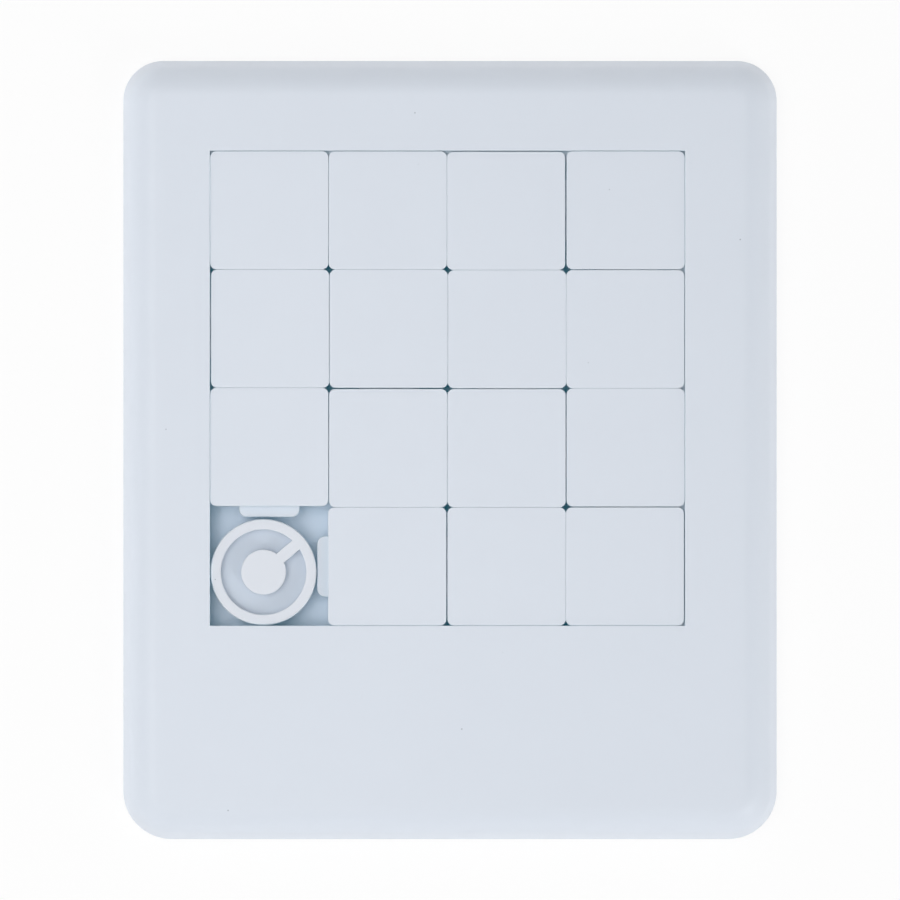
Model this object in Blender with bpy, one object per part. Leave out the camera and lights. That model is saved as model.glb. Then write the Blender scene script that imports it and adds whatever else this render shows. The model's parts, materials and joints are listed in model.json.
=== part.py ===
"""Sliding puzzle: fifteen tongue and groove tiles in a moulded frame, with a spacer plug in the empty cell.

The puzzle lies flat on its back plate. +X runs along the rows to the right, +Y runs up the columns and
+Z points out of the tile tops. The origin is on the resting face, under the middle of the frame.
"""
import math

import bmesh
import bpy

MM = 0.001

# Driving sizes of the tiles and of the grid that they fill
CELLS_A_SIDE = 4
TILE_SIZE = 12.63 * MM
TILE_CORNER_RADIUS = 0.66 * MM
TILE_TOP_EDGE = 0.08 * MM
TONGUE_LENGTH = 6.5 * MM
TONGUE_OUT = 1.18 * MM
TONGUE_THICKNESS = 1.0 * MM
TONGUE_DROP = 0.75 * MM
TONGUE_CORNER_RADIUS = 0.85 * MM
TILE_WALL = 1.5 * MM
TILE_FACE_THICKNESS = 1.4 * MM
TILE_CORE_RADIUS = 0.8 * MM

# Where the tiles stand: the cell with no tile, and how the play of each row and each column is shared out
# over its five gaps, counted from the left wall and from the top wall. The tiles of the last row stand
# clear of every tile above them, so that they can slide past.
EMPTY_CELL = (3, 0)
GAP_SHARES_IN_ROW = (
    (0.09, 0.15, 0.06, 0.61, 0.09),
    (0.46, 0.18, 0.07, 0.06, 0.23),
    (0.10, 0.31, 0.10, 0.39, 0.10),
    (0.00, 0.01, 0.51, 0.06, 0.42),
)
GAP_SHARES_IN_COLUMN = (
    (0.19, 0.07, 0.06, 0.68, 0.00),
    (0.25, 0.06, 0.55, 0.07, 0.07),
    (0.46, 0.07, 0.33, 0.07, 0.07),
    (0.20, 0.29, 0.06, 0.37, 0.08),
)

# Driving sizes of the frame
MARGIN_LEFT = 9.35 * MM
MARGIN_RIGHT = 9.9 * MM
MARGIN_TOP = 9.7 * MM
MARGIN_BOTTOM = 22.9 * MM
FRAME_HEIGHT = 5.0 * MM
UPPER_CORNER_RADIUS = 4.3 * MM
LOWER_CORNER_RADIUS = 5.2 * MM
EDGE_RADIUS = 3.2 * MM
SIDE_DRAFT = math.radians(15)
BASE_CHAMFER = 0.3 * MM
LEAST_CORNER_RADIUS = 0.5 * MM
SKIRT_WALL = 1.6 * MM
POCKET_WALL = 2.6 * MM
WINDOW_WALL = 3.0 * MM
TOP_WALL = 1.8 * MM
POCKET_CORNER_RADIUS = 0.8 * MM
PEG_DIAMETER = 2.6 * MM
PEG_LAND = 5.2 * MM

# Driving sizes of the back plate and the spacer plug
BACK_THICKNESS = 1.6 * MM
RIM_WIDTH = 1.1 * MM
RIM_HEIGHT = 0.55 * MM
RIM_ROUND = 0.15 * MM
PLUG_SIDE_TAPER = 0.5 * MM
PLUG_WEB = 0.7 * MM
PLUG_HOLLOW = 1.0 * MM
PLUG_FOOT_WALL = 1.3 * MM
HUB_DIAMETER = 4.8 * MM
SPOKE_WIDTH = 1.24 * MM
SPOKE_DIRECTION = math.radians(40)
SPOKE_DROP = 0.05 * MM

# Clearances
TILE_PLAY = 0.24 * MM
FLOOR_GAP = 0.2 * MM
TILE_TOP_DROP = 0.1 * MM
PLUG_TOP_DROP = 0.2 * MM
GROOVE_SIDE_GAP = 0.2 * MM
GROOVE_END_GAP = 0.3 * MM
PLUG_GAP = 0.06 * MM
PLATE_EDGE_GAP = 0.25 * MM
PLATE_SEAT_GAP = 0.3 * MM
PEG_GAP = 0.2 * MM
PEG_END_RECESS = 0.3 * MM

# How finely round shapes are cut, and how far a cutter runs past what it cuts
FRAME_CORNER_STEPS = 8
SMALL_CORNER_STEPS = 3
EDGE_STEPS = 7
TURN_STEPS = 48
PEG_SIDES = 16
OVERRUN = 1.0 * MM
MERGE_DISTANCE = 0.001 * MM
SHARP_ANGLE = math.radians(35)

# Linear colours of the pale bluish white plastic, read off the photograph by eye, and its roughness
FACE_COLOUR = (0.69, 0.74, 0.80)
BACK_COLOUR = (0.66, 0.72, 0.79)
PLUG_COLOUR = (0.71, 0.75, 0.81)
FRAME_ROUGHNESS = 0.42
BACK_ROUGHNESS = 0.5
TILE_ROUGHNESS = 0.38
PLUG_ROUGHNESS = 0.35

# Plan of the frame, with its middle at the origin
WINDOW_SIZE = CELLS_A_SIDE * TILE_SIZE + TILE_PLAY
FRAME_WIDTH = MARGIN_LEFT + WINDOW_SIZE + MARGIN_RIGHT
FRAME_LENGTH = MARGIN_BOTTOM + WINDOW_SIZE + MARGIN_TOP
FRAME_BOX = (-FRAME_WIDTH / 2, FRAME_WIDTH / 2, -FRAME_LENGTH / 2, FRAME_LENGTH / 2)
WINDOW_LEFT = FRAME_BOX[0] + MARGIN_LEFT
WINDOW_RIGHT = WINDOW_LEFT + WINDOW_SIZE
WINDOW_BOTTOM = FRAME_BOX[2] + MARGIN_BOTTOM
WINDOW_TOP = WINDOW_BOTTOM + WINDOW_SIZE
WINDOW_BOX = (WINDOW_LEFT, WINDOW_RIGHT, WINDOW_BOTTOM, WINDOW_TOP)

# Levels above the resting face
TILE_UNDERSIDE = BACK_THICKNESS + FLOOR_GAP
TILE_HEIGHT = FRAME_HEIGHT - TILE_TOP_DROP - TILE_UNDERSIDE
TONGUE_TOP = TILE_HEIGHT - TONGUE_DROP
TONGUE_BOTTOM = TONGUE_TOP - TONGUE_THICKNESS
GROOVE_BOTTOM = TONGUE_BOTTOM - GROOVE_SIDE_GAP
GROOVE_TOP = TONGUE_TOP + GROOVE_SIDE_GAP
GROOVE_DEPTH = TONGUE_OUT + GROOVE_END_GAP
PLUG_HEIGHT = FRAME_HEIGHT - TILE_TOP_DROP - PLUG_TOP_DROP - TILE_UNDERSIDE
PLATE_SEAT = BACK_THICKNESS + PLATE_SEAT_GAP


def clear_scene():
    """Remove every object that is already in the scene."""
    for thing in list(bpy.data.objects):
        bpy.data.objects.remove(thing, do_unlink=True)


def grown(box, by):
    """A (left, right, bottom, top) box grown on every side, or shrunk where by is negative."""
    left, right, bottom, top = box
    return left - by, right + by, bottom - by, top + by


def rounded_outline(box, lower_radius, upper_radius, steps):
    """Points counter-clockwise round a box whose two lower and two upper corners are rounded."""
    left, right, bottom, top = box
    corners = (
        (right - lower_radius, bottom + lower_radius, lower_radius),
        (right - upper_radius, top - upper_radius, upper_radius),
        (left + upper_radius, top - upper_radius, upper_radius),
        (left + lower_radius, bottom + lower_radius, lower_radius),
    )
    points = []
    for quarter, (x, y, radius) in enumerate(corners):
        for step in range(steps + 1):
            angle = (quarter - 1 + step / steps) * math.pi / 2
            points.append((x + radius * math.cos(angle), y + radius * math.sin(angle)))
    return points


def evenly_rounded(box, radius):
    """Points counter-clockwise round a box whose four small corners are rounded alike."""
    return rounded_outline(box, radius, radius, SMALL_CORNER_STEPS)


def square_outline(box):
    """The four corners of a box, counter-clockwise."""
    left, right, bottom, top = box
    return [(left, bottom), (right, bottom), (right, top), (left, top)]


def circle_outline(x, y, radius):
    """Points counter-clockwise round a circle."""
    turns = [2 * math.pi * step / PEG_SIDES for step in range(PEG_SIDES)]
    return [(x + radius * math.cos(turn), y + radius * math.sin(turn)) for turn in turns]


def add_loft(shape, sections):
    """Add a closed solid to a bmesh, through outlines of equal length listed upwards with their levels."""
    rings = [[shape.verts.new((x, y, z)) for x, y in outline] for outline, z in sections]
    for lower, upper in zip(rings, rings[1:]):
        for near in range(len(lower)):
            far = (near + 1) % len(lower)
            shape.faces.new((lower[near], lower[far], upper[far], upper[near]))
    shape.faces.new(rings[0][::-1])
    return shape.faces.new(rings[-1])


def add_prism(shape, outline, low, high):
    """Add an upright prism to a bmesh and return its top face."""
    return add_loft(shape, [(outline, low), (outline, high)])


def as_object(name, shape):
    """Turn a bmesh into an object of the scene, with its faces pointing out."""
    bmesh.ops.recalc_face_normals(shape, faces=shape.faces)
    mesh = bpy.data.meshes.new(name)
    shape.to_mesh(mesh)
    shape.free()
    thing = bpy.data.objects.new(name, mesh)
    bpy.context.scene.collection.objects.link(thing)
    return thing


def prisms(name, outlines, low, high):
    """One object that holds an upright prism on each outline."""
    shape = bmesh.new()
    for outline in outlines:
        add_prism(shape, outline, low, high)
    return as_object(name, shape)


def combine(target, tool, operation):
    """Cut a tool out of a target, or join it on, and keep the tool as a hidden guide."""
    tool.hide_render = True
    tool.display_type = 'WIRE'
    modifier = target.modifiers.new(tool.name, 'BOOLEAN')
    modifier.operation = operation
    modifier.solver = 'EXACT'
    modifier.object = tool


def settle(thing):
    """Return a mesh with an object's modifiers worked in, and remove the object and its tools."""
    tools = [modifier.object for modifier in thing.modifiers]
    graph = bpy.context.evaluated_depsgraph_get()
    mesh = bpy.data.meshes.new_from_object(thing.evaluated_get(graph))
    for used in [thing, *tools]:
        bpy.data.objects.remove(used, do_unlink=True)
    return mesh


def smooth(mesh):
    """Shade the round faces of a mesh smoothly and keep its corners sharp."""
    mesh.shade_smooth()
    mesh.set_sharp_from_angle(angle=SHARP_ANGLE)


def plastic(name, colour, roughness):
    """A moulded plastic with a linear colour and a roughness."""
    material = bpy.data.materials.new(name)
    material.use_nodes = True
    shader = material.node_tree.nodes['Principled BSDF']
    shader.inputs['Base Color'].default_value = (*colour, 1.0)
    shader.inputs['Roughness'].default_value = roughness
    shader.inputs['Metallic'].default_value = 0.0
    return material


def distance_in(place, gap_shares):
    """How far the tile in a place along a row or a column stands from the wall where counting starts."""
    return place * TILE_SIZE + TILE_PLAY * sum(gap_shares[:place + 1])


def tile_left(row, column):
    """The left side of a tile in its seat."""
    return WINDOW_LEFT + distance_in(column, GAP_SHARES_IN_ROW[row])


def tile_top(row, column):
    """The upper side, towards +Y, of a tile in its seat."""
    return WINDOW_TOP - distance_in(row, GAP_SHARES_IN_COLUMN[column])


def frame_outline(inset):
    """The frame's outline drawn in by an inset, with its corners rounded about the same middles."""
    radii = [max(r - inset, LEAST_CORNER_RADIUS) for r in (LOWER_CORNER_RADIUS, UPPER_CORNER_RADIUS)]
    return rounded_outline(grown(FRAME_BOX, -inset), *radii, FRAME_CORNER_STEPS)


def edge_sections():
    """The frame's outside as rounded outlines from its base chamfer up the drafted side and over the edge."""
    arc_middle = FRAME_HEIGHT - EDGE_RADIUS
    side_top = arc_middle + EDGE_RADIUS * math.sin(SIDE_DRAFT)
    side_inset = (side_top - BASE_CHAMFER) * math.tan(SIDE_DRAFT)
    profile = [(BASE_CHAMFER, 0.0), (0.0, BASE_CHAMFER)]
    for step in range(EDGE_STEPS + 1):
        angle = SIDE_DRAFT + (math.pi / 2 - SIDE_DRAFT) * step / EDGE_STEPS
        inset = side_inset + EDGE_RADIUS * (math.cos(SIDE_DRAFT) - math.cos(angle))
        profile.append((inset, arc_middle + EDGE_RADIUS * math.sin(angle)))
    return [(frame_outline(inset), level) for inset, level in profile]


def peg_places():
    """The six pegs: one in each corner of the frame and one in the middle of its top and its bottom."""
    left = FRAME_BOX[0] + MARGIN_LEFT / 2
    right = FRAME_BOX[1] - MARGIN_RIGHT / 2
    top = FRAME_BOX[3] - MARGIN_TOP / 2
    bottom = FRAME_BOX[2] + MARGIN_LEFT / 2
    middle = (WINDOW_LEFT + WINDOW_RIGHT) / 2
    return [(x, y) for y in (bottom, top) for x in (left, middle, right)]


def pocket_boxes():
    """The hollows under the frame's margins, two above and two below the window and one on each side."""
    inner = grown(FRAME_BOX, -POCKET_WALL)
    window = grown(WINDOW_BOX, WINDOW_WALL)
    middle = (WINDOW_LEFT + WINDOW_RIGHT) / 2
    land_left = middle - PEG_LAND / 2
    land_right = middle + PEG_LAND / 2
    boxes = [
        (inner[0], window[0], WINDOW_BOTTOM, WINDOW_TOP),
        (window[1], inner[1], WINDOW_BOTTOM, WINDOW_TOP),
    ]
    for low, high in ((inner[2], window[2]), (window[3], inner[3])):
        boxes.append((WINDOW_LEFT, land_left, low, high))
        boxes.append((land_right, WINDOW_RIGHT, low, high))
    return boxes


def make_frame():
    """The frame: outside, tile window, seat for the back plate, pockets and pegs.

    The tongues at the left and the bottom of the grid run under a lip, open to the back so that the last
    tiles can be put in there, and rails on the right and the top wall run in the tiles' grooves.
    """
    shape = bmesh.new()
    add_loft(shape, edge_sections())
    frame = as_object('frame', shape)
    smooth(frame.data)

    above = FRAME_HEIGHT + OVERRUN
    rail_low = TILE_UNDERSIDE + TONGUE_BOTTOM
    rail_high = TILE_UNDERSIDE + TONGUE_TOP
    lip_underside = TILE_UNDERSIDE + GROOVE_TOP
    running_box = (
        WINDOW_LEFT - GROOVE_DEPTH,
        WINDOW_RIGHT - TONGUE_OUT,
        WINDOW_BOTTOM - GROOVE_DEPTH,
        WINDOW_TOP - TONGUE_OUT,
    )
    window = square_outline(WINDOW_BOX)
    combine(frame, prisms('window_below_rails', [window], -OVERRUN, rail_low), 'DIFFERENCE')
    combine(frame, prisms('window_above_rails', [window], rail_high, above), 'DIFFERENCE')
    running = [square_outline(running_box)]
    combine(frame, prisms('tongue_runs', running, -OVERRUN, lip_underside), 'DIFFERENCE')

    seat = prisms('plate_seat', [frame_outline(SKIRT_WALL)], -OVERRUN, PLATE_SEAT)
    combine(frame, seat, 'DIFFERENCE')

    hollows = [evenly_rounded(box, POCKET_CORNER_RADIUS) for box in pocket_boxes()]
    pockets = prisms('pockets', hollows, PLATE_SEAT - OVERRUN, FRAME_HEIGHT - TOP_WALL)
    combine(frame, pockets, 'DIFFERENCE')

    rounds = [circle_outline(x, y, PEG_DIAMETER / 2) for x, y in peg_places()]
    pegs = prisms('pegs', rounds, PEG_END_RECESS, PLATE_SEAT + OVERRUN)
    combine(frame, pegs, 'UNION')
    return frame


def make_back_plate():
    """The back plate: the floor under the tiles, with a hole for each of the frame's pegs."""
    outline = frame_outline(SKIRT_WALL + PLATE_EDGE_GAP)
    plate = prisms('back_plate', [outline], 0.0, BACK_THICKNESS)
    radius = PEG_DIAMETER / 2 + PEG_GAP
    rounds = [circle_outline(x, y, radius) for x, y in peg_places()]
    holes = prisms('peg_holes', rounds, -OVERRUN, BACK_THICKNESS + OVERRUN)
    combine(plate, holes, 'DIFFERENCE')
    return plate


def tile_mesh():
    """One tile about its own middle: tongues to the left and below, grooves to the right and above."""
    half = TILE_SIZE / 2
    side = (-half, half, -half, half)
    shape = bmesh.new()
    top = add_prism(shape, evenly_rounded(side, TILE_CORNER_RADIUS), 0.0, TILE_HEIGHT)
    bmesh.ops.bevel(
        shape,
        geom=list(top.edges),
        offset=TILE_TOP_EDGE,
        affect='EDGES',
        segments=1,
        profile=0.5,
        material=-1,
    )
    tile = as_object('tile_body', shape)

    along = (-TONGUE_LENGTH / 2, TONGUE_LENGTH / 2)
    reach = (-half - TONGUE_OUT, -half + TILE_WALL)
    tongues = {'left_tongue': (*reach, *along), 'lower_tongue': (*along, *reach)}
    for name, box in tongues.items():
        outline = evenly_rounded(box, TONGUE_CORNER_RADIUS)
        combine(tile, prisms(name, [outline], TONGUE_BOTTOM, TONGUE_TOP), 'UNION')

    past = half + OVERRUN
    depth = (half - GROOVE_DEPTH, past)
    grooves = {'right_groove': (*depth, -past, past), 'upper_groove': (-past, past, *depth)}
    for name, box in grooves.items():
        outline = square_outline(box)
        combine(tile, prisms(name, [outline], GROOVE_BOTTOM, GROOVE_TOP), 'DIFFERENCE')

    low = -half + TILE_WALL
    high = half - GROOVE_DEPTH - TILE_WALL
    hollow = evenly_rounded((low, high, low, high), TILE_CORE_RADIUS)
    core = prisms('tile_core', [hollow], -OVERRUN, TILE_HEIGHT - TILE_FACE_THICKNESS)
    combine(tile, core, 'DIFFERENCE')
    return settle(tile)


def make_tiles(root, material):
    """A tile in every cell but the empty one, each its own object in its own seat."""
    mesh = tile_mesh()
    mesh.name = 'tile'
    mesh.materials.clear()
    mesh.materials.append(material)
    for row in range(CELLS_A_SIDE):
        for column in range(CELLS_A_SIDE):
            if (row, column) == EMPTY_CELL:
                continue
            tile = bpy.data.objects.new(f'tile_row{row + 1}_col{column + 1}', mesh)
            bpy.context.scene.collection.objects.link(tile)
            tile.parent = root
            x = tile_left(row, column) + TILE_SIZE / 2
            y = tile_top(row, column) - TILE_SIZE / 2
            tile.location = (x, y, TILE_UNDERSIDE)


def plug_radius():
    """The plug fills the empty cell from the left wall to the tongue of the next tile in the row."""
    row, column = EMPTY_CELL
    free = tile_left(row, column + 1) - TONGUE_OUT - WINDOW_LEFT
    return free / 2 - PLUG_GAP


def plug_profile(radius):
    """Half of the plug's turned section, from the axis at its top round to the axis under its web."""
    shoulder = PLUG_HEIGHT - RIM_ROUND
    web_top = PLUG_HOLLOW + PLUG_WEB
    hub = HUB_DIAMETER / 2
    foot = radius - PLUG_SIDE_TAPER
    rim = radius - RIM_WIDTH
    points = [(0.0, PLUG_HEIGHT), (hub, PLUG_HEIGHT), (hub, web_top), (rim, web_top), (rim, PLUG_HEIGHT)]
    for step in range(SMALL_CORNER_STEPS + 1):
        angle = math.pi / 2 * (1 - step / SMALL_CORNER_STEPS)
        points.append((radius - RIM_ROUND + RIM_ROUND * math.cos(angle), shoulder + RIM_ROUND * math.sin(angle)))
    points += [
        (radius, PLUG_HEIGHT - RIM_HEIGHT),
        (foot, 0.0),
        (foot - PLUG_FOOT_WALL, 0.0),
        (foot - PLUG_FOOT_WALL, PLUG_HOLLOW),
        (0.0, PLUG_HOLLOW),
    ]
    return points


def make_plug():
    """The spacer plug: a turned body with a raised rim and hub, and one spoke between them."""
    radius = plug_radius()
    shape = bmesh.new()
    corners = [shape.verts.new((x, 0.0, z)) for x, z in plug_profile(radius)]
    edges = [shape.edges.new(pair) for pair in zip(corners, corners[1:])]
    bmesh.ops.spin(
        shape,
        geom=corners + edges,
        cent=(0, 0, 0),
        axis=(0, 0, 1),
        angle=2 * math.pi,
        steps=TURN_STEPS,
        use_merge=True,
    )
    bmesh.ops.remove_doubles(shape, verts=shape.verts, dist=MERGE_DISTANCE)
    plug = as_object('spacer_plug', shape)
    smooth(plug.data)

    inside_hub = HUB_DIAMETER / 4
    inside_rim = radius - RIM_WIDTH / 2
    box = (inside_hub, inside_rim, -SPOKE_WIDTH / 2, SPOKE_WIDTH / 2)
    web_middle = PLUG_HOLLOW + PLUG_WEB / 2
    spoke_top = PLUG_HEIGHT - SPOKE_DROP
    spoke = prisms('spoke', [square_outline(box)], web_middle, spoke_top)
    spoke.parent = plug
    spoke.rotation_euler.z = SPOKE_DIRECTION
    combine(plug, spoke, 'UNION')

    plug.location = (WINDOW_LEFT + PLUG_GAP + radius, WINDOW_BOTTOM + PLUG_GAP + radius, TILE_UNDERSIDE)
    return plug


def main():
    """Build the puzzle under one empty at its origin."""
    clear_scene()
    root = bpy.data.objects.new('sliding_puzzle', None)
    bpy.context.scene.collection.objects.link(root)

    finishes = {
        'frame': plastic('frame_plastic', FACE_COLOUR, FRAME_ROUGHNESS),
        'back_plate': plastic('back_plate_plastic', BACK_COLOUR, BACK_ROUGHNESS),
        'tile': plastic('tile_plastic', FACE_COLOUR, TILE_ROUGHNESS),
        'plug': plastic('plug_plastic', PLUG_COLOUR, PLUG_ROUGHNESS),
    }
    for thing, finish in (
        (make_frame(), 'frame'),
        (make_back_plate(), 'back_plate'),
        (make_plug(), 'plug'),
    ):
        thing.parent = root
        thing.data.materials.append(finishes[finish])
    make_tiles(root, finishes['tile'])


main()
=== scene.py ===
"""Looks of a sliding puzzle: pale moulded pieces with fine rounded edges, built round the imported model.

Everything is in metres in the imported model's own frame: +X along the tile rows, +Y up the tile columns and
+Z out of the tile tops, with the origin on the resting face.
"""
import json
import logging
import math
from collections.abc import Callable, Iterable
from dataclasses import dataclass
from enum import Enum

import bmesh
import bpy
from bmesh.types import BMEdge, BMesh, BMFace, BMVert
from mathutils import Matrix, Vector


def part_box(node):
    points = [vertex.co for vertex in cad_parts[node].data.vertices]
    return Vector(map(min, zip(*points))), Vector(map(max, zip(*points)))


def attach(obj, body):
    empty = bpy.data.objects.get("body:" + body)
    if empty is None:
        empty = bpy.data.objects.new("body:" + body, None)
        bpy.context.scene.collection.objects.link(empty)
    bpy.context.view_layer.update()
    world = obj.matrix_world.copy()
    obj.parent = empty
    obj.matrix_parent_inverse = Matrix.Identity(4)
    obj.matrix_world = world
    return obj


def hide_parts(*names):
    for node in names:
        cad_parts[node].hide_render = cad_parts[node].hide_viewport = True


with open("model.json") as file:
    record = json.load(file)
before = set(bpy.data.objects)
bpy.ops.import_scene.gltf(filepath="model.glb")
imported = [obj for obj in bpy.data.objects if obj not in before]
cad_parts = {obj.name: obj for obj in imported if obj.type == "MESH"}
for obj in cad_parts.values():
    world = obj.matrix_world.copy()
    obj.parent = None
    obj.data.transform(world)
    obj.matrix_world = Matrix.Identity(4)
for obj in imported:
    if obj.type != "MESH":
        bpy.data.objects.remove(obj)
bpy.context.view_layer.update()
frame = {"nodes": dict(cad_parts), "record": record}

LOG = logging.getLogger("sliding_puzzle")
MM = 0.001
PHOTO_SIDE_PIXELS = 900
MERGE_DISTANCE = 0.001 * MM
SAME_PLACE = 0.01 * MM
SHARP_ANGLE = math.radians(32)
UPRIGHT_SLOPE = 0.5
FINE_STEPS = 3
UP = Vector((0.0, 0.0, 1.0))
WHITE = "#ffffff"
BLACK = "#000000"
PAINTED_FACES = "inner"
# The colour sockets of a mix node, which share their names with its other sockets
MIX_FACTOR, MIX_FIRST, MIX_SECOND, MIX_RESULT = 0, 6, 7, 2
# Where most of a noise texture's values lie
NOISE_LOW, NOISE_HIGH = 0.3, 0.7
# The part of a speck that has its full colour
SPECK_CORE = 0.6
BODY_OF_NODE = {
    node: body
    for body, nodes in frame["record"]["behaviour"]["bodies"].items()
    for node in nodes
}


class Slot(Enum):
    """The record's material slots."""

    FRAME = "frame_plastic"
    BACK = "back_plate_plastic"
    TILE = "tile_plastic"
    PLUG = "plug_plastic"


def linear(hex_colour: str) -> tuple[float, float, float, float]:
    """Turn an sRGB hex colour into linear light.

    Args:
        hex_colour: A hash and six hex digits.

    Returns:
        Red, green, blue and a full alpha.
    """
    channels = [int(hex_colour[place:place + 2], 16) / 255 for place in (1, 3, 5)]
    red, green, blue = (c / 12.92 if c <= 0.04045 else ((c + 0.055) / 1.055) ** 2.4 for c in channels)
    return red, green, blue, 1.0


def add_node(tree: bpy.types.NodeTree, kind: str, inputs: dict | None = None, **settings) -> bpy.types.Node:
    """Add a node with its settings, values and links.

    Args:
        tree: The node tree to add to.
        kind: The node's type name.
        inputs: For an input's name or number, a value or the output socket that feeds it.
        **settings: The node's own properties.

    Returns:
        The new node.
    """
    node = tree.nodes.new(kind)
    for name, value in settings.items():
        setattr(node, name, value)
    for socket, value in (inputs or {}).items():
        if isinstance(value, bpy.types.NodeSocket):
            tree.links.new(value, node.inputs[socket])
        else:
            node.inputs[socket].default_value = value
    return node


@dataclass(frozen=True)
class MouldedPlastic:
    """An opaque plastic from a polished or finely etched mould.

    To the eye it is one even colour with very faint clouds, a soft sheen that a fine etch breaks up, and
    a few specks of dust. Its inner faces, the walls and the floor of gaps and hollows, take a painted colour
    that stands in for the shade and its teal tint there, and for the tinted light on a shaded floor. A
    painted glow, an emission on the same faces, stands in for light coming through the plastic, which is all
    that shows in a narrow gap.
    """

    name: str
    colour: str
    cloud_colour: str
    painted_light_and_shade_colour: str
    speck_colour: str
    roughness_low: float
    roughness_high: float
    ior: float
    cloud_mm: float
    sheen_mm: float
    grain_mm: float
    grain_height_mm: float
    speck_mm: float
    speck_spacing_mm: float
    painted_glow_colour: str = BLACK
    painted_glow: float = 0.0

    def material(self) -> bpy.types.Material:
        """Make the material on Object coordinates.

        Returns:
            The new material.
        """
        made = bpy.data.materials.new(self.name)
        made.use_nodes = True
        tree = made.node_tree
        tree.nodes.clear()
        place = add_node(tree, "ShaderNodeTexCoord").outputs["Object"]

        # Faint clouds in the colour, with the specks over them
        cloud = add_node(tree, "ShaderNodeTexNoise", {
            "Vector": place, "Scale": 1 / (self.cloud_mm * MM), "Detail": 3.0, "Roughness": 0.6,
        })
        body = add_node(tree, "ShaderNodeMix", {
            MIX_FACTOR: cloud.outputs[0],
            MIX_FIRST: linear(self.colour), MIX_SECOND: linear(self.cloud_colour),
        }, data_type="RGBA")
        # Painted light and shade: inner faces take a colour that stands in for the shade and its teal tint in
        # gaps and hollows, and for tinted light on a shaded floor
        inner = add_node(tree, "ShaderNodeAttribute", attribute_name=PAINTED_FACES)
        painted_shading = add_node(tree, "ShaderNodeMix", {
            MIX_FACTOR: inner.outputs["Fac"],
            MIX_FIRST: body.outputs[MIX_RESULT], MIX_SECOND: linear(self.painted_light_and_shade_colour),
        }, data_type="RGBA")
        speck = add_node(tree, "ShaderNodeTexVoronoi", {
            "Vector": place, "Scale": 1 / (self.speck_spacing_mm * MM),
        })
        reach = self.speck_mm / self.speck_spacing_mm
        dusty = add_node(tree, "ShaderNodeMapRange", {
            "Value": speck.outputs["Distance"], "From Min": reach, "From Max": reach * SPECK_CORE,
        })
        colour = add_node(tree, "ShaderNodeMix", {
            MIX_FACTOR: dusty.outputs[0],
            MIX_FIRST: painted_shading.outputs[MIX_RESULT], MIX_SECOND: linear(self.speck_colour),
        }, data_type="RGBA")

        # A sheen that varies softly, and the etch of the mould, which is finer than a pixel and drawn coarser
        sheen = add_node(tree, "ShaderNodeTexNoise", {
            "Vector": place, "Scale": 1 / (self.sheen_mm * MM), "Detail": 2.0,
        })
        rough = add_node(tree, "ShaderNodeMapRange", {
            "Value": sheen.outputs[0], "From Min": NOISE_LOW, "From Max": NOISE_HIGH,
            "To Min": self.roughness_low, "To Max": self.roughness_high,
        })
        grain = add_node(tree, "ShaderNodeTexNoise", {
            "Vector": place, "Scale": 1 / (self.grain_mm * MM), "Detail": 2.0,
        })
        bump = add_node(tree, "ShaderNodeBump", {
            "Height": grain.outputs[0], "Strength": 1.0, "Distance": self.grain_height_mm * MM,
        })

        # The painted glow: an emission on inner faces only, standing in for light that comes through the
        # plastic
        painted_glow_on_inner = add_node(tree, "ShaderNodeMix", {
            MIX_FACTOR: inner.outputs["Fac"],
            MIX_FIRST: linear(BLACK), MIX_SECOND: linear(self.painted_glow_colour),
        }, data_type="RGBA")
        shader = add_node(tree, "ShaderNodeBsdfPrincipled", {
            "Base Color": colour.outputs[MIX_RESULT], "Roughness": rough.outputs[0],
            "Normal": bump.outputs[0],
            "IOR": self.ior, "Metallic": 0.0,
            "Emission Color": painted_glow_on_inner.outputs[MIX_RESULT], "Emission Strength": self.painted_glow,
        })
        add_node(tree, "ShaderNodeOutputMaterial", {"Surface": shader.outputs[0]})
        return made


@dataclass(frozen=True)
class Rect:
    """A rectangle in plan."""

    left: float
    right: float
    front: float
    back: float

    def grown(self, by: float) -> "Rect":
        """The rectangle with every side moved outwards."""
        return Rect(self.left - by, self.right + by, self.front - by, self.back + by)

    def matrix(self, level: float) -> Matrix:
        """Place a square of side 2 as this rectangle.

        Args:
            level: The height of the rectangle.

        Returns:
            The transform from the square about the origin.
        """
        middle = ((self.left + self.right) / 2, (self.front + self.back) / 2, level)
        half = ((self.right - self.left) / 2, (self.back - self.front) / 2, 1.0, 1.0)
        return Matrix.Translation(middle) @ Matrix.Diagonal(half)


def add_sheet(
    shape: BMesh, rect: Rect, level: float, front_radius: float, back_radius: float, steps: int,
) -> BMFace:
    """Add a flat rectangle with rounded corners.

    Args:
        shape: The mesh to add to.
        rect: The rectangle in plan.
        level: Its height.
        front_radius: The radius of the two corners at the front.
        back_radius: The radius of the two corners at the back.
        steps: The number of edges in each rounded corner.

    Returns:
        The new face.
    """
    earlier = set(shape.faces)
    made = bmesh.ops.create_grid(shape, x_segments=1, y_segments=1, size=1.0, matrix=rect.matrix(level))
    middle = (rect.front + rect.back) / 2
    front = [vert for vert in made["verts"] if vert.co.y < middle]
    back = [vert for vert in made["verts"] if vert.co.y > middle]
    for corners, radius in ((front, front_radius), (back, back_radius)):
        bmesh.ops.bevel(
            shape, geom=corners, offset=radius, affect="VERTICES", segments=steps, profile=0.5, material=-1,
        )
    return next(face for face in shape.faces if face not in earlier)


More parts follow.
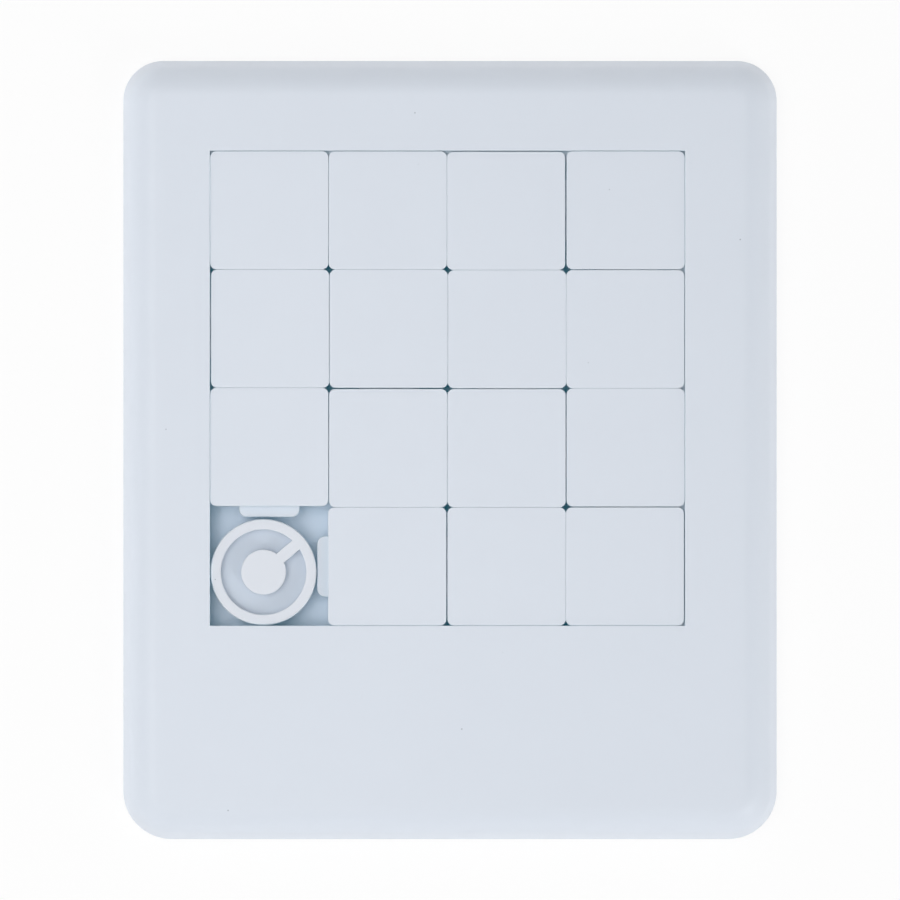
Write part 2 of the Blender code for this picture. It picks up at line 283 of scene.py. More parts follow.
def carried(shape: BMesh, edges: Iterable[BMEdge], matrix: Matrix) -> list[BMEdge]:
    """Extrude edges and move the new ones.

    Args:
        shape: The mesh.
        edges: The edges to extrude.
        matrix: The transform of the new edges.

    Returns:
        The new edges.
    """
    made = bmesh.ops.extrude_edge_only(shape, edges=list(edges))["geom"]
    verts = [item for item in made if isinstance(item, BMVert)]
    bmesh.ops.transform(shape, matrix=matrix, verts=verts)
    return [item for item in made if isinstance(item, BMEdge)]


def edges_where(shape: BMesh, test: Callable[[Vector], bool]) -> list[BMEdge]:
    """The edges whose two ends both pass a test of their place."""
    return [edge for edge in shape.edges if all(test(vert.co) for vert in edge.verts)]


def open_edges(shape: BMesh, level: float) -> list[BMEdge]:
    """The edges at a level that have a face on one side only."""
    flat = edges_where(shape, lambda place: abs(place.z - level) < SAME_PLACE)
    return [edge for edge in flat if len(edge.link_faces) == 1]


def fill_level(shape: BMesh, level: float, band: float) -> None:
    """Close the open loops at a level with a flat region that has the inner loops as its holes.

    Args:
        shape: The mesh.
        level: The height of the loops.
        band: The width of the strip of even faces along the loops, which a bevel there can use.
    """
    loops = open_edges(shape, level)
    made = bmesh.ops.triangle_fill(shape, edges=loops, use_beauty=True, normal=UP)
    flat = [item for item in made["geom"] if isinstance(item, BMFace)]
    bmesh.ops.recalc_face_normals(shape, faces=shape.faces)
    bmesh.ops.inset_region(shape, faces=flat, thickness=band, use_even_offset=True, use_boundary=True)


def round_edges(shape: BMesh, edges: Iterable[BMEdge], radius: float, steps: int) -> None:
    """Round edges off.

    Args:
        shape: The mesh.
        edges: The edges.
        radius: How far the rounding reaches from the edge.
        steps: The number of faces across it.
    """
    bmesh.ops.recalc_face_normals(shape, faces=shape.faces)
    bmesh.ops.bevel(
        shape, geom=list(edges), offset=radius, affect="EDGES", segments=steps, profile=0.5, material=-1,
    )


def is_upright(face: BMFace) -> bool:
    """Whether a face stands more upright than flat."""
    return abs(face.normal.z) < UPRIGHT_SLOPE


def finished(
    name: str, shape: BMesh, node: str,
    finish: bpy.types.Material, inner: Callable[[BMFace], bool],
) -> bpy.types.Object:
    """Make a piece of a mesh that is in its place, and let it stand for a CAD node.

    Args:
        name: The piece's name.
        shape: The mesh, which is used up.
        node: The CAD node that the piece stands for and rides with.
        finish: The piece's material.
        inner: Tells the faces that take the painted shade colour and the painted glow.

    Returns:
        The new object, at the origin.
    """
    bmesh.ops.recalc_face_normals(shape, faces=shape.faces)
    layer = shape.faces.layers.float.new(PAINTED_FACES)
    for face in shape.faces:
        face[layer] = float(inner(face))
    mesh = bpy.data.meshes.new(name)
    shape.to_mesh(mesh)
    shape.free()
    mesh.shade_smooth()
    mesh.set_sharp_from_angle(angle=SHARP_ANGLE)
    mesh.materials.append(finish)
    piece = bpy.data.objects.new(name, mesh)
    bpy.context.scene.collection.objects.link(piece)
    weighted = piece.modifiers.new("flat_faces_first", "WEIGHTED_NORMAL")
    weighted.keep_sharp = True
    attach(piece, BODY_OF_NODE[node])
    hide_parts(node)
    LOG.info("%s: %d faces, stands for %s", name, len(mesh.polygons), node)
    return piece


@dataclass
class FrameMoulding:
    """The frame, with its window, rails, plate seat, pockets and pegs."""

    margin_left: float = 9.35 * MM
    margin_right: float = 9.9 * MM
    margin_top: float = 9.7 * MM
    margin_bottom: float = 22.9 * MM
    upper_corner: float = 4.3 * MM
    lower_corner: float = 5.2 * MM
    edge_radius: float = 3.2 * MM
    side_draft: float = math.radians(15)
    foot_chamfer: float = 0.3 * MM
    skirt_wall: float = 1.6 * MM
    seat_level: float = 1.9 * MM
    lip_level: float = 4.35 * MM
    rail_top: float = 4.15 * MM
    rail_bottom: float = 3.15 * MM
    rail_out: float = 1.18 * MM
    run_depth: float = 1.48 * MM
    window_edge: float = 0.04 * MM
    deck_band: float = 0.2 * MM
    seat_band: float = 0.1 * MM
    foot_edge: float = 0.1 * MM
    pocket_wall: float = 2.6 * MM
    window_wall: float = 3.0 * MM
    pocket_ceiling: float = 3.2 * MM
    pocket_corner: float = 0.8 * MM
    peg_land: float = 5.2 * MM
    peg_radius: float = 1.3 * MM
    peg_end: float = 0.3 * MM
    peg_edge: float = 0.15 * MM
    corner_steps: int = 24
    edge_steps: int = 20
    small_steps: int = 6
    peg_sides: int = 40

    def __post_init__(self) -> None:
        """Take the outline from the CAD node and set the window inside it."""
        low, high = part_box("frame")
        self.outline = Rect(low.x, high.x, low.y, high.y)
        self.height = high.z
        self.window = Rect(
            low.x + self.margin_left, high.x - self.margin_right,
            low.y + self.margin_bottom, high.y - self.margin_top,
        )

    def peg_places(self) -> list[tuple[float, float]]:
        """The middles of the six pegs."""
        across = (
            self.outline.left + self.margin_left / 2,
            (self.window.left + self.window.right) / 2,
            self.outline.right - self.margin_right / 2,
        )
        along = (self.outline.front + self.margin_left / 2, self.outline.back - self.margin_top / 2)
        return [(x, y) for y in along for x in across]

    def pockets(self) -> list[Rect]:
        """The hollows under the margins, as rectangles."""
        inner = self.outline.grown(-self.pocket_wall)
        outer = self.window.grown(self.window_wall)
        middle = (self.window.left + self.window.right) / 2
        halves = (
            (self.window.left, middle - self.peg_land / 2),
            (middle + self.peg_land / 2, self.window.right),
        )
        bands = ((inner.front, outer.front), (outer.back, inner.back))
        return [
            Rect(inner.left, outer.left, self.window.front, self.window.back),
            Rect(outer.right, inner.right, self.window.front, self.window.back),
            *(Rect(*half, *band) for band in bands for half in halves),
        ]

    def _section(self, shape: BMesh) -> list[BMEdge]:
        """Draw the side's section at the left end of the front side.

        Args:
            shape: The empty mesh to draw in.

        Returns:
            The edges over the round edge, down the drafted side, round the foot and up to the plate seat.
        """
        x = self.outline.left + self.lower_corner
        front = self.outline.front
        arc_level = self.height - self.edge_radius
        side_top = arc_level + self.edge_radius * math.sin(self.side_draft)
        side_in = (side_top - self.foot_chamfer) * math.tan(self.side_draft)
        arc_in = side_in + self.edge_radius * math.cos(self.side_draft)
        tip = shape.verts.new((x, front + side_in, side_top))
        bmesh.ops.spin(
            shape, geom=[tip], cent=(x, front + arc_in, arc_level), axis=(1, 0, 0),
            angle=self.side_draft - math.pi / 2, steps=self.edge_steps,
        )
        turns = (
            (0.0, self.foot_chamfer),
            (self.foot_chamfer, 0.0),
            (self.skirt_wall, 0.0),
            (self.skirt_wall, self.seat_level),
        )
        for inset, level in turns:
            tip = bmesh.ops.extrude_vert_indiv(shape, verts=[tip])["verts"][0]
            tip.co = (x, front + inset, level)
        return list(shape.edges)

    def _outside(self, shape: BMesh) -> None:
        """Carry the section along the four sides and turn it round the four corners."""
        rect = self.outline
        low, high = self.lower_corner, self.upper_corner
        width = rect.right - rect.left
        length = rect.back - rect.front
        stops = (
            ((width - 2 * low, 0, 0), (rect.right - low, rect.front + low, 0)),
            ((0, length - low - high, 0), (rect.right - high, rect.back - high, 0)),
            ((2 * high - width, 0, 0), (rect.left + high, rect.back - high, 0)),
            ((0, low + high - length, 0), (rect.left + low, rect.front + low, 0)),
        )
        ring = self._section(shape)
        for travel, centre in stops:
            ring = carried(shape, ring, Matrix.Translation(travel))
            ends = list({vert for edge in ring for vert in edge.verts})
            turned = bmesh.ops.spin(
                shape, geom=ring + ends, cent=centre, axis=UP, angle=math.pi / 2, steps=self.corner_steps,
            )
            ring = [item for item in turned["geom_last"] if isinstance(item, BMEdge)]
        bmesh.ops.remove_doubles(shape, verts=shape.verts, dist=MERGE_DISTANCE)
        foot = edges_where(shape, lambda place: abs(place.z - self.foot_chamfer) < SAME_PLACE)
        round_edges(shape, foot, self.foot_edge, FINE_STEPS)

    def _window_walls(self, shape: BMesh) -> None:
        """Take the window down through its lip, the tongues' run and the rails to the plate seat."""
        window = self.window
        run = Rect(window.left - self.run_depth, window.right, window.front - self.run_depth, window.back)
        rails = Rect(run.left, window.right - self.rail_out, run.front, window.back - self.rail_out)
        stations = (
            (window, self.lip_level),
            (run, self.lip_level),
            (run, self.rail_top),
            (rails, self.rail_top),
            (rails, self.rail_bottom),
            (run, self.rail_bottom),
            (run, self.seat_level),
        )
        before = window.matrix(self.height)
        top = bmesh.ops.create_grid(shape, x_segments=1, y_segments=1, size=1.0, matrix=before)
        faces = list({face for vert in top["verts"] for face in vert.link_faces})
        ring = list(faces[0].edges)
        bmesh.ops.delete(shape, geom=faces, context="FACES_ONLY")
        for rect, level in stations:
            after = rect.matrix(level)
            ring = carried(shape, ring, after @ before.inverted())
            before = after

    def _underside(self, shape: BMesh) -> None:
        """Make the pockets and the pegs down from and up to the plate seat, and close the seat round them."""
        for rect in self.pockets():
            ceiling = add_sheet(
                shape, rect, self.pocket_ceiling, self.pocket_corner, self.pocket_corner, self.small_steps,
            )
            drop = Matrix.Translation((0, 0, self.seat_level - self.pocket_ceiling))
            carried(shape, ceiling.edges, drop)
        for x, y in self.peg_places():
            disc = bmesh.ops.create_circle(
                shape, cap_ends=True, segments=self.peg_sides, radius=self.peg_radius,
                matrix=Matrix.Translation((x, y, self.peg_end)),
            )
            rim = list({edge for vert in disc["verts"] for edge in vert.link_edges})
            carried(shape, rim, Matrix.Translation((0, 0, self.seat_level - self.peg_end)))
            round_edges(shape, rim, self.peg_edge, FINE_STEPS)
        fill_level(shape, self.seat_level, self.seat_band)

    def build(self) -> BMesh:
        """Model the frame.

        Returns:
            The closed mesh, in its place.
        """
        shape = bmesh.new()
        self._outside(shape)
        self._window_walls(shape)
        fill_level(shape, self.height, self.deck_band)
        self._underside(shape)
        rect = self.window.grown(SAME_PLACE)
        lip = edges_where(
            shape,
            lambda place: self.height - place.z < SAME_PLACE
            and rect.left < place.x < rect.right and rect.front < place.y < rect.back,
        )
        round_edges(shape, lip, self.window_edge, FINE_STEPS)
        return shape

    def _gets_painted_shade_and_glow(self, face: BMFace) -> bool:
        """Whether a face is one of the window's upright walls, which get the painted shade and glow."""
        place = face.calc_center_median()
        rect = self.window.grown(2 * self.run_depth)
        inside = rect.left < place.x < rect.right and rect.front < place.y < rect.back
        return inside and is_upright(face)

    def dress(self, finish: MouldedPlastic) -> bpy.types.Object:
        """Build the frame and give it its finish."""
        return finished(
            "frame_moulding", self.build(), "frame", finish.material(), self._gets_painted_shade_and_glow,
        )


@dataclass
class BackPlate:
    """The plate that closes the back and is the floor that the tiles slide on."""

    frame_moulding: FrameMoulding
    inset: float = 1.85 * MM
    peg_gap: float = 0.2 * MM
    edge: float = 0.12 * MM

    def build(self) -> BMesh:
        """Model the plate.

        Returns:
            The closed mesh, in its place.
        """
        body = self.frame_moulding
        low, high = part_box("back_plate")
        shape = bmesh.new()
        outline = add_sheet(
            shape, body.outline.grown(-self.inset), low.z,
            body.lower_corner - self.inset, body.upper_corner - self.inset, body.corner_steps,
        )
        bmesh.ops.delete(shape, geom=[outline], context="FACES_ONLY")
        for x, y in body.peg_places():
            bmesh.ops.create_circle(
                shape, cap_ends=False, segments=body.peg_sides, radius=body.peg_radius + self.peg_gap,
                matrix=Matrix.Translation((x, y, low.z)),
            )
        bmesh.ops.triangle_fill(shape, edges=shape.edges, use_beauty=True, normal=UP)
        made = bmesh.ops.extrude_face_region(shape, geom=list(shape.faces))["geom"]
        upper = [item for item in made if isinstance(item, BMVert)]
        bmesh.ops.translate(shape, verts=upper, vec=(0, 0, high.z - low.z))
        rims = [edge for edge in shape.edges if edge.calc_face_angle(0.0) > SHARP_ANGLE]
        level = [edge for edge in rims if abs(edge.verts[0].co.z - edge.verts[1].co.z) < SAME_PLACE]
        round_edges(shape, level, self.edge, FINE_STEPS)
        return shape

    def dress(self, finish: MouldedPlastic) -> bpy.types.Object:
        """Build the plate and give it its finish."""
        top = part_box("back_plate")[1].z
        return finished(
            "back_plate_moulding", self.build(), "back_plate", finish.material(),
            # The top face gets the lighter painted colour and the painted glow
            lambda face: top - face.calc_center_median().z < SAME_PLACE,
        )


@dataclass
class TileSet:
    """The fifteen tiles, each with a tongue on its left and front side and a groove on the other two."""

    size: float = 12.63 * MM
    height: float = 3.1 * MM
    corner: float = 0.66 * MM
    top_edge: float = 0.03 * MM
    foot_edge: float = 0.08 * MM
    tongue_length: float = 6.5 * MM
    tongue_out: float = 1.18 * MM
    tongue_bottom: float = 1.35 * MM
    tongue_top: float = 2.35 * MM
    tongue_corner: float = 0.85 * MM
    tongue_edge: float = 0.09 * MM
    groove_depth: float = 1.48 * MM
    groove_bottom: float = 1.15 * MM
    groove_top: float = 2.55 * MM
    wall: float = 1.5 * MM
    face_thickness: float = 1.4 * MM
    core_corner: float = 0.8 * MM
    corner_steps: int = 8
    edge_steps: int = 4

    def _in_band(self, face: BMFace) -> bool:
        """Whether a face lies on the sides between the groove's two levels."""
        return self.groove_bottom < face.calc_center_median().z < self.groove_top

    def _split(self, shape: BMesh, faces: Iterable[BMFace], point: Vector, normal: Vector) -> None:
        """Cut some faces along a plane.

        Args:
            shape: The mesh.
            faces: The faces to cut.
            point: A point on the plane.
            normal: The plane's normal.
        """
        cut = list(faces)
        edges = {edge for face in cut for edge in face.edges}
        verts = {vert for face in cut for vert in face.verts}
        bmesh.ops.bisect_plane(
            shape, geom=[*verts, *edges, *cut], dist=MERGE_DISTANCE, plane_co=point, plane_no=normal,
        )

    def _grooves(self, shape: BMesh) -> None:
        """Open the right and back sides between two levels and set the groove's walls in behind them."""
        half = self.size / 2
        back = half - self.groove_depth
        for level in (self.groove_bottom, self.groove_top):
            self._split(shape, shape.faces, UP * level, UP)
        for axis in ((1, 0, 0), (0, 1, 0)):
            band = [face for face in shape.faces if self._in_band(face)]
            self._split(shape, band, Vector((back, back, 0)), Vector(axis))
        gone = [
            face for face in shape.faces
            if self._in_band(face) and max(face.calc_center_median().xy) > back
        ]
        bmesh.ops.delete(shape, geom=gone, context="FACES")
        upright = [
            edge for edge in shape.edges
            if len(edge.link_faces) == 1 and abs(edge.verts[0].co.z - edge.verts[1].co.z) > SAME_PLACE
        ]
        first = min(upright, key=lambda edge: edge.verts[0].co.y)
        wall = carried(shape, [first], Matrix.Translation((0, half + back, 0)))
        carried(shape, wall, Matrix.Translation((-half - back, 0, 0)))
        bmesh.ops.remove_doubles(shape, verts=shape.verts, dist=MERGE_DISTANCE)
        for level in (self.groove_bottom, self.groove_top):
            bmesh.ops.holes_fill(shape, edges=open_edges(shape, level), sides=0)

    def _tongue(self, shape: BMesh, across: Vector, along: Vector) -> None:
        """Push a tongue out of one side.

        Args:
            shape: The mesh.
            across: The direction in which the tongue points.
            along: The direction of the side.
        """
        half = self.size / 2
        reach = self.tongue_length / 2
        cuts = (
            (along * reach, along), (along * -reach, along),
            (UP * self.tongue_bottom, UP), (UP * self.tongue_top, UP),
        )

        def on_side() -> list[BMFace]:
            """The flat faces of this side between the groove's two levels."""
            return [
                face for face in shape.faces
                if self._in_band(face) and abs(face.calc_center_median() @ across - half) < SAME_PLACE
            ]

        for point, normal in cuts:
            self._split(shape, on_side(), point, normal)
        middle = across * half + UP * (self.tongue_bottom + self.tongue_top) / 2
        root = min(on_side(), key=lambda face: (face.calc_center_median() - middle).length)
        tip = bmesh.ops.extrude_discrete_faces(shape, faces=[root])["faces"][0]
        bmesh.ops.translate(shape, verts=tip.verts, vec=across * self.tongue_out)
        upright = [edge for edge in tip.edges if abs(edge.verts[0].co.z - edge.verts[1].co.z) > SAME_PLACE]
        round_edges(shape, upright, self.tongue_corner, self.corner_steps)
        for level in (self.tongue_top, self.tongue_bottom):
            rim = edges_where(
                shape,
                lambda place, at=level: abs(place.z - at) < SAME_PLACE and place @ across > half - SAME_PLACE,
            )
            outer = [edge for edge in rim if max(vert.co @ across for vert in edge.verts) > half + SAME_PLACE]
            round_edges(shape, outer, self.tongue_edge, FINE_STEPS)

    def _core(self, shape: BMesh) -> None:
        """Hollow the underside."""
        half = self.size / 2
        under = [
            face for face in shape.faces
            if abs(face.calc_center_median().z) < SAME_PLACE and not is_upright(face)
        ]
        bmesh.ops.delete(shape, geom=under, context="FACES_ONLY")
        low = self.wall - half
        high = half - self.groove_depth - self.wall
        depth = self.height - self.face_thickness
        ceiling = add_sheet(
            shape, Rect(low, high, low, high), depth, self.core_corner, self.core_corner, self.corner_steps,
        )
        carried(shape, ceiling.edges, Matrix.Translation((0, 0, -depth)))
        fill_level(shape, 0.0, self.foot_edge)

    def build(self) -> BMesh:
        """Model one tile about its own middle, with its underside at zero.

        Returns:
            The closed mesh.
        """
        half = self.size / 2
        shape = bmesh.new()
        sheet = add_sheet(
            shape, Rect(-half, half, -half, half), 0.0, self.corner, self.corner, self.corner_steps,
        )
        made = bmesh.ops.extrude_face_region(shape, geom=[sheet])["geom"]
        upper = [item for item in made if isinstance(item, BMVert)]
        bmesh.ops.translate(shape, verts=upper, vec=(0, 0, self.height))
        rim = edges_where(shape, lambda place: self.height - place.z < SAME_PLACE)
        round_edges(shape, rim, self.top_edge, self.edge_steps)
        self._grooves(shape)
        self._tongue(shape, Vector((-1, 0, 0)), Vector((0, 1, 0)))
        self._tongue(shape, Vector((0, -1, 0)), Vector((1, 0, 0)))
        self._core(shape)
        return shape

    def dress(self, finish: MouldedPlastic) -> list[bpy.types.Object]:
        """Put a tile in the place of every tile node and give them all one finish."""
        material = finish.material()
        pieces = []
        for node in sorted(name for name in frame["nodes"] if name.startswith("tile_")):
            low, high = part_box(node)
            shape = self.build()
            middle = (high.x - self.size / 2, high.y - self.size / 2, low.z)
            bmesh.ops.translate(shape, verts=shape.verts, vec=middle)
            name = node.replace("tile_", "tile_moulding_")
            # Every upright face of a tile gets the painted shade and glow
            pieces.append(finished(name, shape, node, material, is_upright))
        return pieces


@dataclass
class SpacerPlug:
    """The loose plug in the empty cell: a cup with a round rim, a hub and one spoke."""

    rim_width: float = 1.1 * MM
    rim_height: float = 0.55 * MM
    crown_round: float = 0.15 * MM
    lip_round: float = 0.06 * MM
    foot_round: float = 0.1 * MM
    top_band: float = 0.25 * MM
    side_taper: float = 0.5 * MM
    recess: float = 1.2 * MM
    web: float = 0.7 * MM
    foot_wall: float = 1.3 * MM
    hub_radius: float = 2.4 * MM
    spoke_width: float = 1.24 * MM
    spoke_direction: float = math.radians(40)
    turn_steps: int = 128
    edge_steps: int = 6

    def __post_init__(self) -> None:
        """Take the middle, the radius and the height from the CAD node."""
        low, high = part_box("spacer_plug")
        self.middle = Vector(((low.x + high.x) / 2, (low.y + high.y) / 2, low.z))
        self.radius = (high.x - low.x) / 2
        self.height = high.z - low.z

    def _ring(self, shape: BMesh, radius: float, level: float) -> list[BMEdge]:
        """The edges of a turned circle at a level."""
        return edges_where(
            shape,
            lambda place: abs(place.z - level) < SAME_PLACE and abs(place.xy.length - radius) < SAME_PLACE,
        )

    def _arc(self, shape: BMesh, radius: float) -> list[BMVert]:
        """Draw a circle at the top level that stops at the spoke's two sides.

        Args:
            shape: The mesh to draw in.
            radius: The circle's radius.

        Returns:
            The first and the last vertex.
        """
        aside = math.asin(self.spoke_width / 2 / radius)
        begin = self.spoke_direction + aside
        first = shape.verts.new((radius * math.cos(begin), radius * math.sin(begin), self.height))
        made = bmesh.ops.spin(
            shape, geom=[first], cent=(0, 0, 0), axis=UP, angle=2 * (math.pi - aside),
            steps=self.turn_steps,
        )
        return [first, next(item for item in made["geom_last"] if isinstance(item, BMVert))]

    def _pocket(self, shape: BMesh) -> None:
        """Sink the pocket that leaves the rim, the hub and the spoke standing."""
        earlier = set(shape.edges)
        rim = self._arc(shape, self.radius - self.rim_width)
        hub = self._arc(shape, self.hub_radius)
        for pair in zip(rim, hub):
            shape.edges.new(pair)
        loop = [edge for edge in shape.edges if edge not in earlier]
        bottom = carried(shape, loop, Matrix.Translation((0, 0, -self.recess)))
        bmesh.ops.triangle_fill(shape, edges=bottom, use_beauty=True, normal=UP)

    def build(self) -> BMesh:
        """Model the plug.

        Returns:
            The closed mesh, in its place.
        """
        top = self.height
        under = top - self.recess - self.web
        foot = self.radius - self.side_taper
        inside = foot - self.foot_wall
        section = (
            (self.radius, top), (self.radius, top - self.rim_height), (foot, 0.0),
            (inside, 0.0), (inside, under), (0.0, under),
        )
        shape = bmesh.new()
        tip = shape.verts.new((section[0][0], 0.0, section[0][1]))
        for radius, level in section[1:]:
            tip = bmesh.ops.extrude_vert_indiv(shape, verts=[tip])["verts"][0]
            tip.co = (radius, 0.0, level)
        bmesh.ops.spin(
            shape, geom=[*shape.verts, *shape.edges], cent=(0, 0, 0), axis=UP, angle=2 * math.pi,
            steps=self.turn_steps, use_merge=True,
        )
        bmesh.ops.remove_doubles(shape, verts=shape.verts, dist=MERGE_DISTANCE)
        self._pocket(shape)
        fill_level(shape, top, self.top_band)
        crown = self._ring(shape, self.radius, top)
        lips = [
            edge for edge in edges_where(shape, lambda place: top - place.z < SAME_PLACE)
            if edge.calc_face_angle(0.0) > SHARP_ANGLE and edge not in crown
        ]
        round_edges(shape, crown, self.crown_round, self.edge_steps)
        round_edges(shape, lips, self.lip_round, FINE_STEPS)
        round_edges(shape, self._ring(shape, foot, 0.0), self.foot_round, FINE_STEPS)
        bmesh.ops.translate(shape, verts=shape.verts, vec=self.middle)
        return shape

    def dress(self, finish: MouldedPlastic) -> bpy.types.Object:
        """Build the plug and give it its finish."""
        # Faces below the rim's top, the pocket and the sides, get the painted shade
        top = self.middle.z + self.height - self.crown_round
        return finished(
            "spacer_plug_moulding", self.build(), "spacer_plug", finish.material(),
            lambda face: face.calc_center_median().z < top,
        )


@dataclass(frozen=True)
class SoftBox:
    """A square studio lamp that is aimed at the puzzle's middle.

    Its share is the part of the plain light level that it lends to a flat top. The shares of the lamps and
    of the surroundings add up to about one, at which a colour renders about as it is written.
    """

    name: str
    share: float
    azimuth: float
    elevation: float
    distance: float
    side: float

    def build(self) -> bpy.types.Object:
        """Make the lamp.

        Returns:
            The lamp's object.
        """
        turn, rise = math.radians(self.azimuth), math.radians(self.elevation)
        towards = Vector((math.cos(rise) * math.cos(turn), math.cos(rise) * math.sin(turn), math.sin(rise)))
        data = bpy.data.lights.new(self.name, "AREA")
        data.shape = "SQUARE"
        data.size = self.side
        data.energy = self.share * math.pi ** 2 * self.distance ** 2 / math.sin(rise)
        lamp = bpy.data.objects.new(self.name, data)
        lamp.location = towards * self.distance
        lamp.rotation_euler = towards.to_track_quat("Z", "Y").to_euler()
        bpy.context.scene.collection.objects.link(lamp)
        return lamp


@dataclass(frozen=True)
class Studio:
    """A white table in a low white tent, soft lamps, and a camera that looks straight down."""

    tent_strength: tuple[float, float, float] = (3.3, 1.75, 0.0)
    tent_fall: float = 3.0
    lamps: tuple[SoftBox, ...] = (
        SoftBox("left_soft_box", share=0.228, azimuth=180.0, elevation=70.0, distance=0.5, side=0.35),
        SoftBox("back_left_soft_box", share=0.11, azimuth=135.0, elevation=60.0, distance=0.5, side=0.35),
        SoftBox("front_left_soft_box", share=0.145, azimuth=230.0, elevation=60.0, distance=0.5, side=0.35),
        SoftBox("overhead_soft_box", share=0.183, azimuth=0.0, elevation=90.0, distance=0.7, side=0.7),
        SoftBox("front_right_soft_box", share=0.122, azimuth=315.0, elevation=35.0, distance=0.6, side=0.2),
    )
    table_radius: float = 6.0
    table_sides: int = 96
    table_drop: float = 0.02 * MM
    table_glow: float = 0.86
    camera_height: float = 2.0
    camera_reach: float = 100.0
    photo_pixel: float = 0.10710 * MM
    photo_level: float = 0.3 * MM
    sensor: float = 36.0

    def _seen_directly(self, tree: bpy.types.NodeTree) -> bpy.types.NodeSocket:
        """Tell what the camera, a mirror or glass sees from what only lights the scene.

        Args:
            tree: The node tree to add to.

        Returns:
            The output that is one for a ray from the camera, off a gloss or through glass.
        """
        path = add_node(tree, "ShaderNodeLightPath")
        either = add_node(tree, "ShaderNodeMath", {
            0: path.outputs["Is Camera Ray"], 1: path.outputs["Is Glossy Ray"],
        }, operation="MAXIMUM")
        return add_node(tree, "ShaderNodeMath", {
            0: either.outputs[0], 1: path.outputs["Is Transmission Ray"],
        }, operation="MAXIMUM").outputs[0]

    def _surroundings(self) -> None:
        """Light the scene from the tent's walls, which are brightest at their foot and at the two sides."""
        world = bpy.data.worlds.new("white_tent")
        world.use_nodes = True
        tree = world.node_tree
        tree.nodes.clear()
        towards = add_node(tree, "ShaderNodeTexCoord").outputs["Generated"]
        rise = add_node(tree, "ShaderNodeSeparateXYZ", {0: towards})
        low = add_node(tree, "ShaderNodeMath", {
            0: 1.0, 1: rise.outputs["Z"],
        }, operation="SUBTRACT", use_clamp=True)
        foot = add_node(tree, "ShaderNodeMath", {
            0: low.outputs[0], 1: self.tent_fall,
        }, operation="POWER")
        square = add_node(tree, "ShaderNodeVectorMath", {
            0: towards, 1: towards,
        }, operation="MULTIPLY")
        walls = add_node(tree, "ShaderNodeVectorMath", {
            0: square.outputs[0], 1: self.tent_strength,
        }, operation="DOT_PRODUCT")
        strength = add_node(tree, "ShaderNodeMath", {
            0: foot.outputs[0], 1: walls.outputs["Value"],
        }, operation="MULTIPLY")
        light = add_node(tree, "ShaderNodeBackground", {"Strength": strength.outputs[0]})
        white = add_node(tree, "ShaderNodeBackground", {"Strength": 1.0})
        for background in (light, white):
            background.inputs["Color"].default_value = linear(WHITE)
        mixed = add_node(tree, "ShaderNodeMixShader", {
            0: self._seen_directly(tree), 1: light.outputs[0], 2: white.outputs[0],
        })
        add_node(tree, "ShaderNodeOutputWorld", {"Surface": mixed.outputs[0]})
        bpy.context.scene.world = world

    def _table(self) -> None:
        """Lay the white table, on which the puzzle's shadow shows faintly."""
        shape = bmesh.new()
        bmesh.ops.create_circle(
            shape, cap_ends=True, segments=self.table_sides, radius=self.table_radius,
            matrix=Matrix.Translation((0, 0, -self.table_drop)),
        )
        mesh = bpy.data.meshes.new("table")
        shape.to_mesh(mesh)
        shape.free()
        table = bpy.data.objects.new("table", mesh)
        bpy.context.scene.collection.objects.link(table)
        material = bpy.data.materials.new("white_card")
        material.use_nodes = True
        tree = material.node_tree
        tree.nodes.clear()
        card = add_node(tree, "ShaderNodeBsdfDiffuse", {"Color": linear(WHITE)})
        glow = add_node(tree, "ShaderNodeEmission", {"Color": linear(WHITE), "Strength": 1.0})
        share = add_node(tree, "ShaderNodeMath", {
            0: self._seen_directly(tree), 1: self.table_glow,
        }, operation="MULTIPLY")
        mixed = add_node(tree, "ShaderNodeMixShader", {
            0: share.outputs[0], 1: card.outputs[0], 2: glow.outputs[0],
        })
        add_node(tree, "ShaderNodeOutputMaterial", {"Surface": mixed.outputs[0]})
        mesh.materials.append(material)

    def _camera(self) -> None:
        """Look straight down with a long lens, at the scale of the photograph."""
        data = bpy.data.cameras.new("camera")
        data.sensor_width = self.sensor
        field = PHOTO_SIDE_PIXELS * self.photo_pixel
        data.lens = self.sensor * (self.camera_height - self.photo_level) / field
        data.clip_end = self.camera_reach
        camera = bpy.data.objects.new("camera", data)
        camera.location = (0.0, 0.0, self.camera_height)
        bpy.context.scene.collection.objects.link(camera)
        bpy.context.scene.camera = camera

    def build(self) -> None:
        """Set up the light, the table and the camera."""
        bpy.context.scene.view_settings.view_transform = "Standard"
        self._surroundings()
        self._table()
        self._camera()
        for lamp in self.lamps:
            lamp.build()


# Moulded ABS: even and opaque, with the soft sheen of an etched mould
FRAME_ABS = MouldedPlastic(
    name="frame_moulded_abs",
    # Darker, tealer painted shade on the window's walls, with a faint teal painted glow on them
    colour="#dae1eb", cloud_colour="#d8dfe9", painted_light_and_shade_colour="#c0d8e1", speck_colour="#a9b3be",
    roughness_low=0.41, roughness_high=0.45, ior=1.53, cloud_mm=14.0, sheen_mm=5.0,
    grain_mm=0.3, grain_height_mm=0.004, speck_mm=0.1, speck_spacing_mm=4.5,
    painted_glow_colour="#1ccaf4", painted_glow=0.03,
)
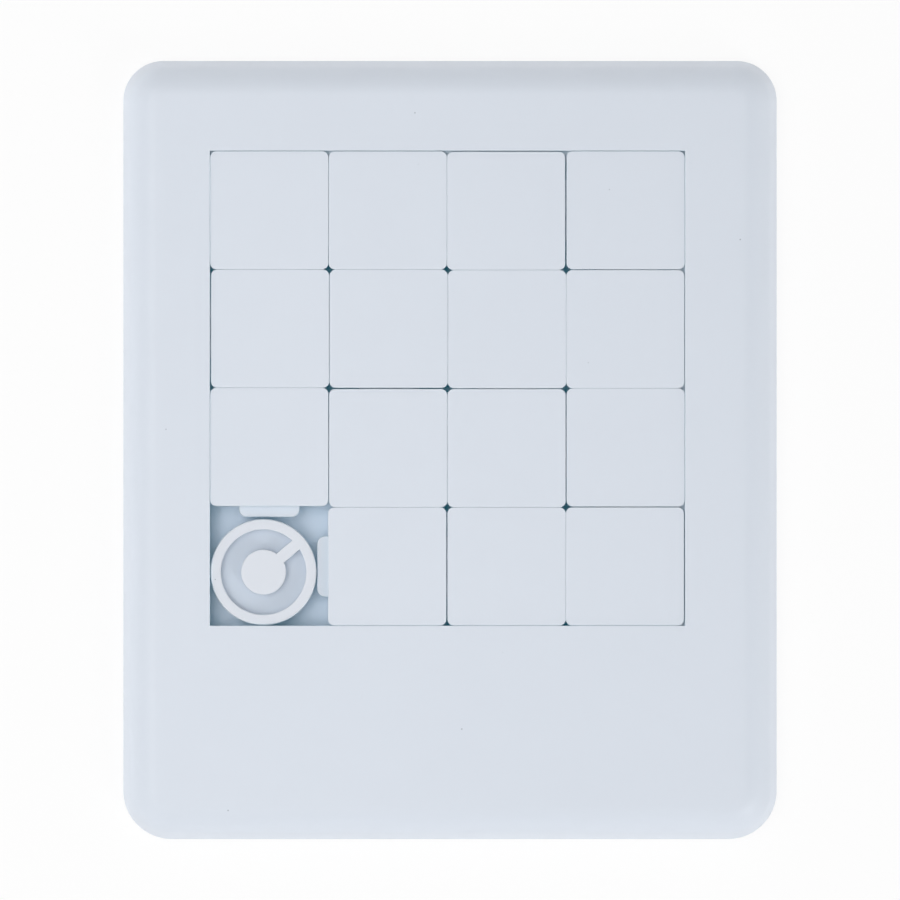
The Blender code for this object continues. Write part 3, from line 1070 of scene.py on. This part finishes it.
# The same ABS from a smoother mould
TILE_ABS = MouldedPlastic(
    name="tile_moulded_abs",
    # Darker, tealer painted shade on the tiles' sides, with a faint teal painted glow on them
    colour="#dae1eb", cloud_colour="#d8dfe9", painted_light_and_shade_colour="#c0d8e1", speck_colour="#b0bac4",
    roughness_low=0.37, roughness_high=0.41, ior=1.53, cloud_mm=9.0, sheen_mm=4.0,
    grain_mm=0.25, grain_height_mm=0.003, speck_mm=0.08, speck_spacing_mm=5.0,
    painted_glow_colour="#1ccaf4", painted_glow=0.03,
)
# Polystyrene: a little bluer and more matt
BACK_STYRENE = MouldedPlastic(
    name="back_plate_moulded_styrene",
    # Lighter, bluer painted light on the top face, standing for the tinted light on the floor in shade, with
    # a faint teal painted glow there
    colour="#d2dbe5", cloud_colour="#ced8e3", painted_light_and_shade_colour="#dde4f3", speck_colour="#9aa6b3",
    roughness_low=0.48, roughness_high=0.52, ior=1.59, cloud_mm=12.0, sheen_mm=6.0,
    grain_mm=0.35, grain_height_mm=0.006, speck_mm=0.1, speck_spacing_mm=4.0,
    painted_glow_colour="#20d8e2", painted_glow=0.035,
)
# Polypropylene: waxy, with a glint on its round rim
PLUG_POLYPROPYLENE = MouldedPlastic(
    name="plug_moulded_polypropylene",
    # Darker painted shade in the pocket and on the sides below the rim's top
    colour="#dde2ea", cloud_colour="#dbe0e9", painted_light_and_shade_colour="#cad4e0", speck_colour="#98a4b0",
    roughness_low=0.32, roughness_high=0.36, ior=1.49, cloud_mm=6.0, sheen_mm=3.0,
    grain_mm=0.25, grain_height_mm=0.003, speck_mm=0.07, speck_spacing_mm=1.6,
)


def main() -> None:
    """Build the studio and every piece of the puzzle."""
    logging.basicConfig(level=logging.INFO, format="%(message)s")
    Studio().build()
    moulding = FrameMoulding()
    moulding.dress(FRAME_ABS)
    BackPlate(moulding).dress(BACK_STYRENE)
    TileSet().dress(TILE_ABS)
    SpacerPlug().dress(PLUG_POLYPROPYLENE)


if __name__ == "__main__":
    main()
